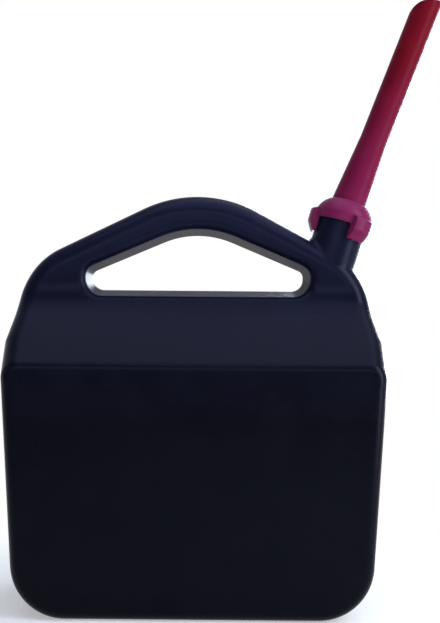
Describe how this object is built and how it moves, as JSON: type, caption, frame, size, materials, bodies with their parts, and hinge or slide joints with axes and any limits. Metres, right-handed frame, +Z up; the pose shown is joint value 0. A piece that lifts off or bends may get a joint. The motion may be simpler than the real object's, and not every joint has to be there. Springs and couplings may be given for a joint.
{
  "type": "jerrycan",
  "caption": "Black blow-moulded fuel jerrycan with an arched integral handle, a leaning neck, and a red pouring spout held by a domed screw collar with three grips.",
  "frame": {"origin": "centre of the flat base, where the mid-plane of the mould halves meets the ground", "axes": "+Z up, +X along the width towards the neck and spout, +Y from the pictured front to the back; the mould's parting plane is Y = 0"},
  "size_m": [0.2992, 0.12, 0.4178],
  "materials": {
    "can_plastic": "fine-grained black polyethylene, satin",
    "collar_plastic": "moulded crimson polyethylene, satin",
    "spout_plastic": "moulded crimson polyethylene, satin",
    "seal_rubber": "matt black rubber"
  },
  "bodies": {
    "can": {"can_body": "can_plastic"},
    "spout": {"pouring_spout": "spout_plastic", "seal_ring": "seal_rubber"},
    "collar": {"screw_collar": "collar_plastic"}
  },
  "joints": [
    {"name": "spout_lift", "type": "slide", "parent": "can", "child": "spout", "axis": [0.2924, 0, 0.9563], "range_m": [0, 0.0046]},
    {"name": "collar_turn", "type": "hinge", "parent": "spout", "child": "collar", "pos_m": [0.10597, 0, 0.27034], "axis": [0.2924, 0, 0.9563], "range_deg": [0, 540]}
  ],
  "couplings": [
    {"joint": "spout_lift", "follows": "collar_turn", "m_per_rad": 0.00047746}
  ]
}
